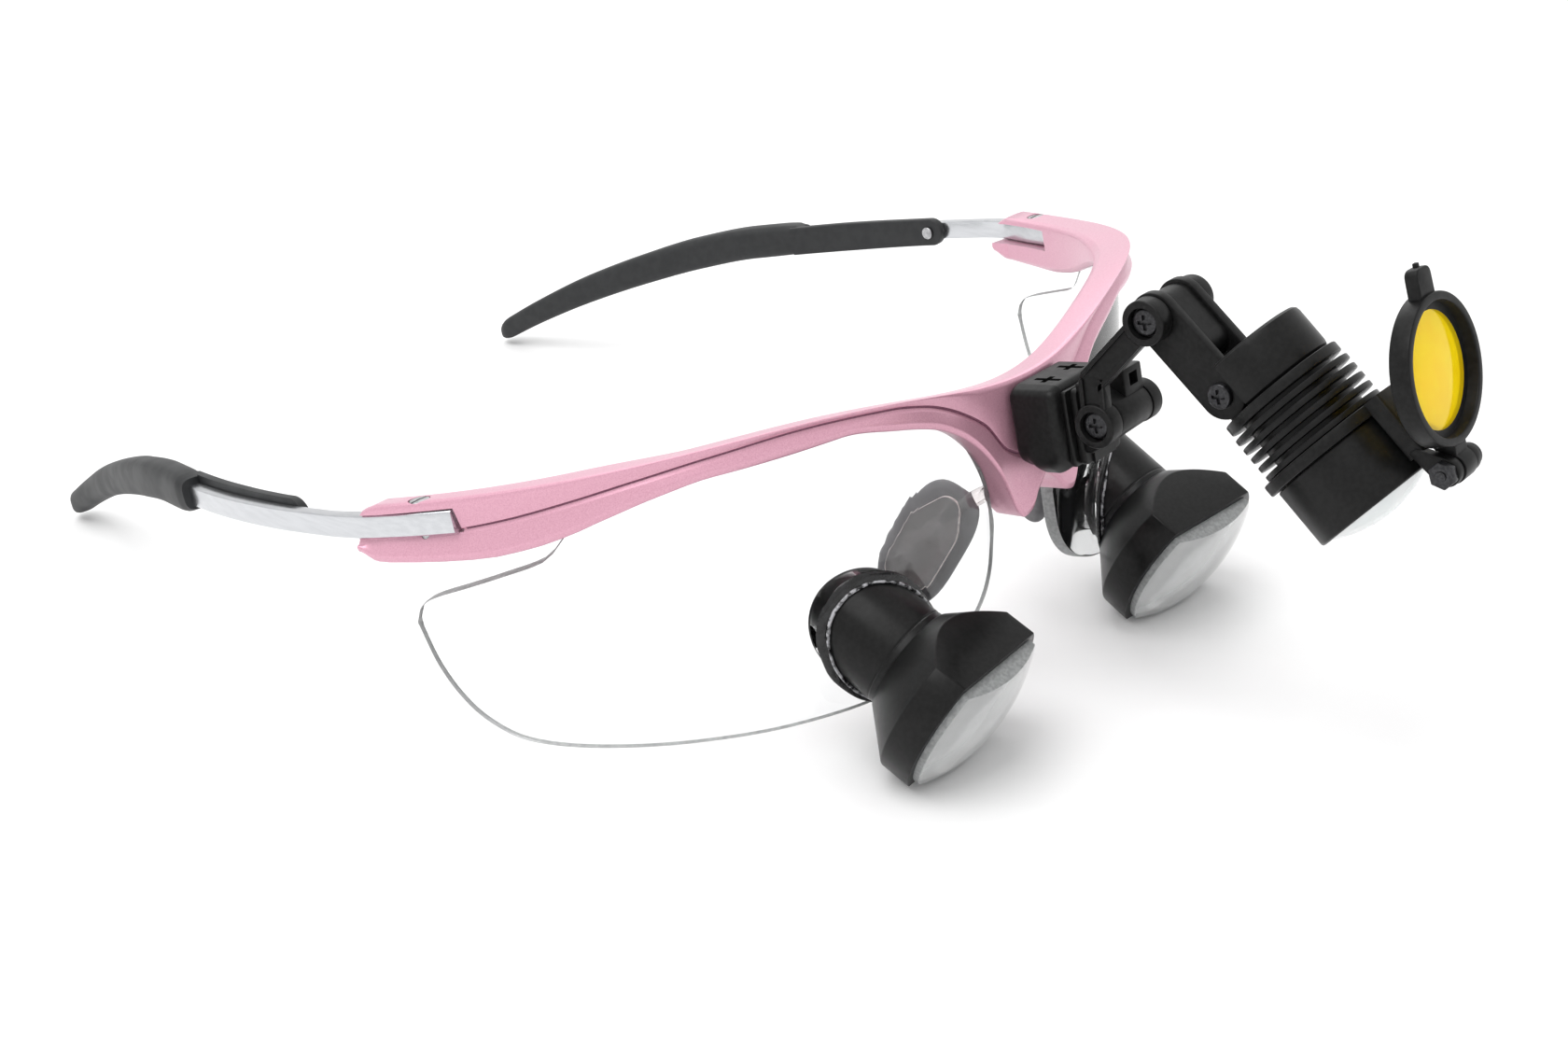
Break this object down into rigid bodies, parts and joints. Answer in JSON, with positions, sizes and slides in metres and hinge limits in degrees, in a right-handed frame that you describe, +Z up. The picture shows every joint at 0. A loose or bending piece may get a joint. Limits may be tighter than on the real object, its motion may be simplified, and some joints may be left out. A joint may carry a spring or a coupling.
{
  "type": "dental loupes",
  "caption": "Through-the-lens dental telescopes on a half-rim spectacle frame, with a jointed LED headlight and a flip-over amber curing filter.",
  "frame": {"origin": "middle of the footprint, on the surface that the telescopes and temple tips stand on", "axes": "+X to the wearer's left, +Y from the brow back along the temples, +Z up"},
  "size_m": [0.141, 0.214, 0.0665],
  "materials": {
    "frame_paint": "pearl metallic",
    "steel": "satin",
    "carrier_glass": "polished",
    "pad_plastic": "clear gloss",
    "pad_silicone": "smooth matte",
    "anodised_black": "satin anodised",
    "adhesive_black": "gloss bead",
    "optic_glass": "polished",
    "black_plastic": "fine grain",
    "black_screw": "black oxide",
    "arm_metal": "polished",
    "sleeve_rubber": "soft matte",
    "board_green": "solder mask",
    "led_yellow": "phosphor",
    "amber_glass": "tinted"
  },
  "bodies": {
    "front": {"frame_front": "frame_paint", "right_hinge_screw": "steel", "left_hinge_screw": "steel", "right_carrier_lens": "carrier_glass", "left_carrier_lens": "carrier_glass", "right_pad_arm": "pad_plastic", "left_pad_arm": "pad_plastic", "right_nose_pad": "pad_silicone", "left_nose_pad": "pad_silicone", "right_barrel": "anodised_black", "left_barrel": "anodised_black", "right_mount_collar": "adhesive_black", "left_mount_collar": "adhesive_black", "right_objective_housing": "anodised_black", "left_objective_housing": "anodised_black", "right_objective_lens": "optic_glass", "left_objective_lens": "optic_glass", "right_objective_retainer": "anodised_black", "left_objective_retainer": "anodised_black", "right_eyepiece_lens": "optic_glass", "left_eyepiece_lens": "optic_glass", "right_eyepiece_ring": "anodised_black", "left_eyepiece_ring": "anodised_black", "bridge_block": "black_plastic", "bridge_screws": "steel", "dovetail_rail": "black_plastic"},
    "right_temple": {"right_temple_arm": "arm_metal", "right_temple_sleeve": "sleeve_rubber", "right_sleeve_rivet": "steel"},
    "left_temple": {"left_temple_arm": "arm_metal", "left_temple_sleeve": "sleeve_rubber", "left_sleeve_rivet": "steel"},
    "bracket": {"lamp_bracket": "black_plastic", "lower_pivot_screw": "black_screw", "lower_pivot_nut": "black_plastic"},
    "lower_arm": {"lower_link": "black_plastic", "upper_pivot_screw": "black_screw", "upper_pivot_nut": "black_plastic"},
    "upper_arm": {"upper_link": "black_plastic", "lamp_pivot_screw": "black_screw", "lamp_pivot_nut": "black_screw"},
    "lamp": {"lamp_rear_cap": "anodised_black", "power_socket": "black_plastic", "heat_sink": "anodised_black", "lamp_front_sleeve": "anodised_black", "lamp_window": "optic_glass", "led_board": "board_green", "led_chip": "led_yellow", "collimator": "optic_glass", "filter_clamp": "black_plastic", "filter_hinge_screw": "black_screw", "filter_hinge_nut": "black_screw"},
    "filter": {"filter_frame": "black_plastic", "filter_glass": "amber_glass"}
  },
  "joints": [
    {"name": "right_temple_fold", "type": "hinge", "parent": "front", "child": "right_temple", "pos_m": [-0.0659, -0.00496, 0.03571], "axis": [0, -0.1874, -0.9823], "range_deg": [0, 76]},
    {"name": "left_temple_fold", "type": "hinge", "parent": "front", "child": "left_temple", "pos_m": [0.0659, -0.00496, 0.03571], "axis": [0, 0.1874, 0.9823], "range_deg": [0, 85]},
    {"name": "bracket_slide", "type": "slide", "parent": "front", "child": "bracket", "axis": [0, 0.1874, 0.9823], "range_m": [0, 0.009]},
    {"name": "lower_pivot", "type": "hinge", "parent": "bracket", "child": "lower_arm", "pos_m": [0, -0.06142, 0.04016], "axis": [1, 0, 0], "range_deg": [-25, 15]},
    {"name": "upper_pivot", "type": "hinge", "parent": "lower_arm", "child": "upper_arm", "pos_m": [0, -0.06787, 0.05493], "axis": [1, 0, 0], "range_deg": [-40, 20]},
    {"name": "lamp_tilt", "type": "hinge", "parent": "upper_arm", "child": "lamp", "pos_m": [0, -0.07739, 0.04718], "axis": [1, 0, 0], "range_deg": [-18, 15]},
    {"name": "filter_flip", "type": "hinge", "parent": "lamp", "child": "filter", "pos_m": [0, -0.10514, 0.04379], "axis": [1, 0, 0], "range_deg": [0, 238]}
  ]
}
